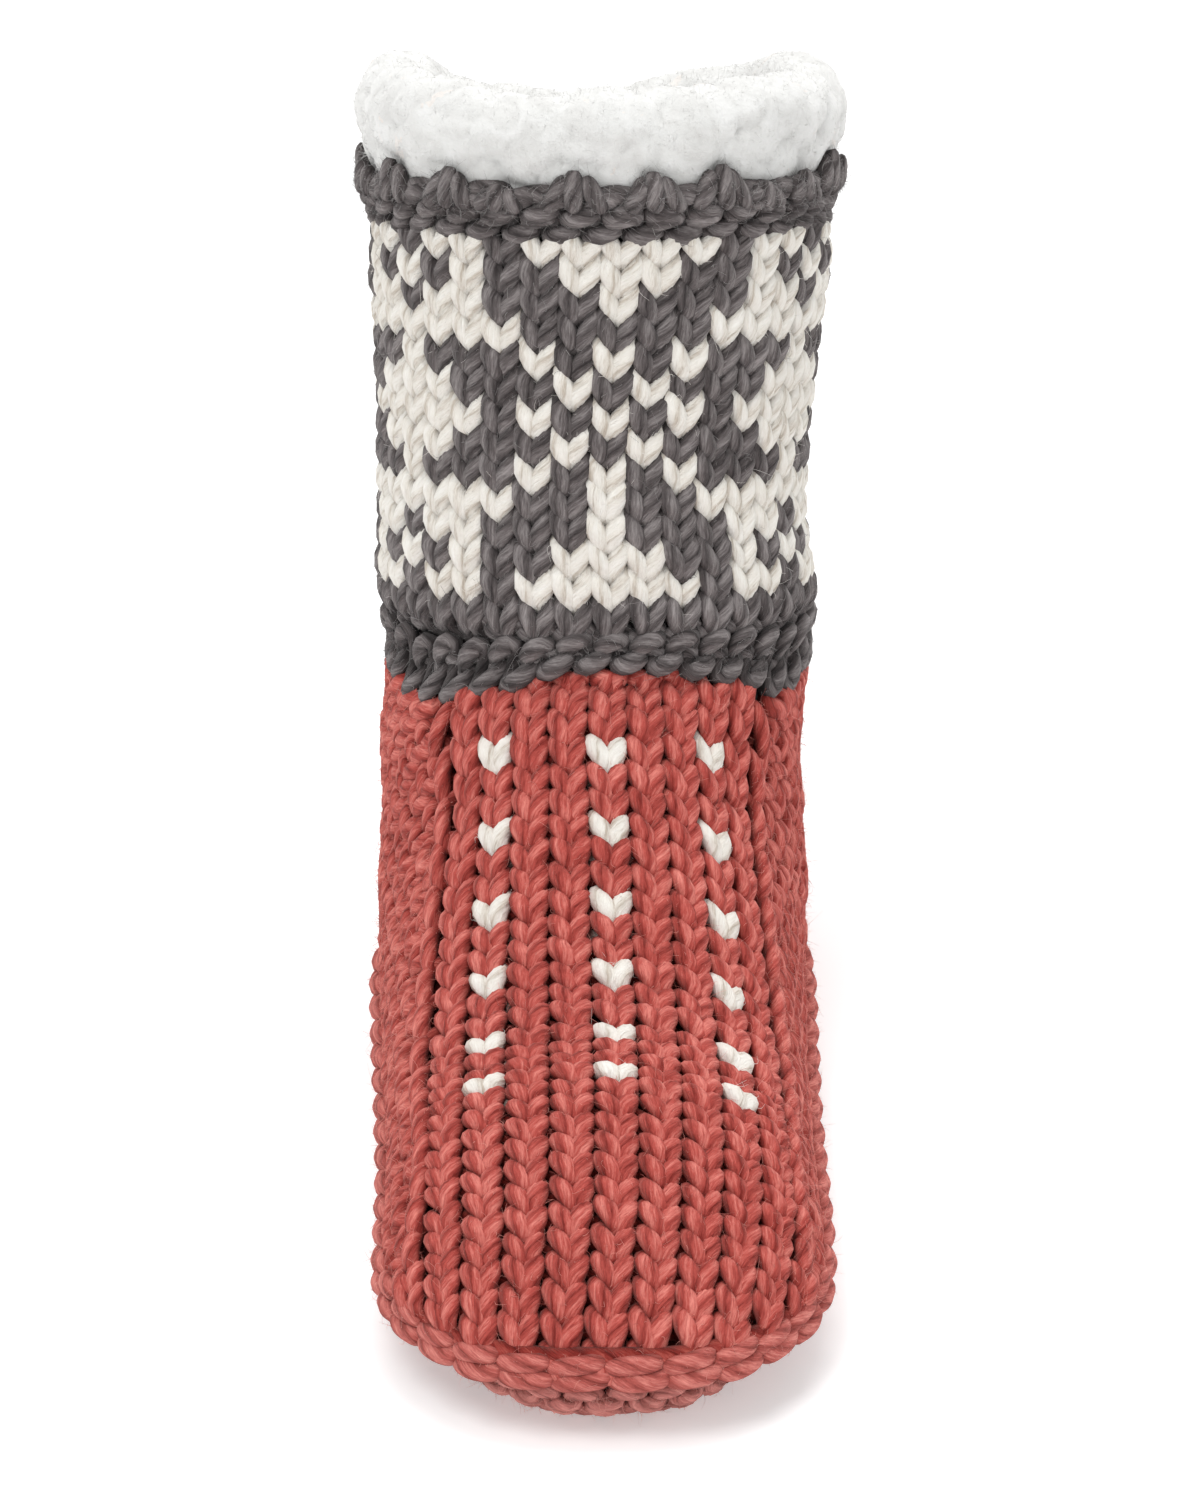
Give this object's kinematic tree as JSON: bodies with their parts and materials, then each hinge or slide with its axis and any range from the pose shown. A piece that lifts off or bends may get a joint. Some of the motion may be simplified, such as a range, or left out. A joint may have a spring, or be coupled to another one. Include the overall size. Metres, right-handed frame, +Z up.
{
  "type": "knitted slipper sock",
  "caption": "Chunky knitted slipper sock with a patterned leg, plain foot, whip-stitched sole seam, fleece collar and fleece lining.",
  "frame": {"origin": "centre of the outline on the flat underside of the sole", "axes": "+Z up out of the leg, -Y towards the toe, +X across to the wearer's side"},
  "size_m": [0.1138, 0.3036, 0.2273],
  "materials": {
    "coral_knit": "fuzzy knit",
    "grey_knit": "fuzzy knit with cream pattern",
    "fleece": "deep pile"
  },
  "bodies": {
    "foot": {"foot_lining_left": "fleece", "foot_lining_right": "fleece", "insole": "fleece", "instep_panel": "coral_knit", "pickup_seam_left": "coral_knit", "pickup_seam_right": "coral_knit", "side_panel_left": "coral_knit", "side_panel_right": "coral_knit", "heel_panel": "coral_knit", "sole_seam": "coral_knit", "sole_knit": "coral_knit", "ankle_edge": "grey_knit", "ankle_lining": "fleece"},
    "leg": {"cuff_knit": "grey_knit", "cuff_top_edge": "grey_knit", "collar_sherpa": "fleece", "leg_lining": "fleece"}
  },
  "joints": [
    {"name": "ankle_flex", "type": "hinge", "parent": "foot", "child": "leg", "pos_m": [0, 0.06962, 0.0924], "axis": [1, 0, 0], "range_deg": [-12, 12], "stiffness_Nm_per_rad": 0.8, "deforming": ["ankle_edge", "ankle_lining"]}
  ]
}
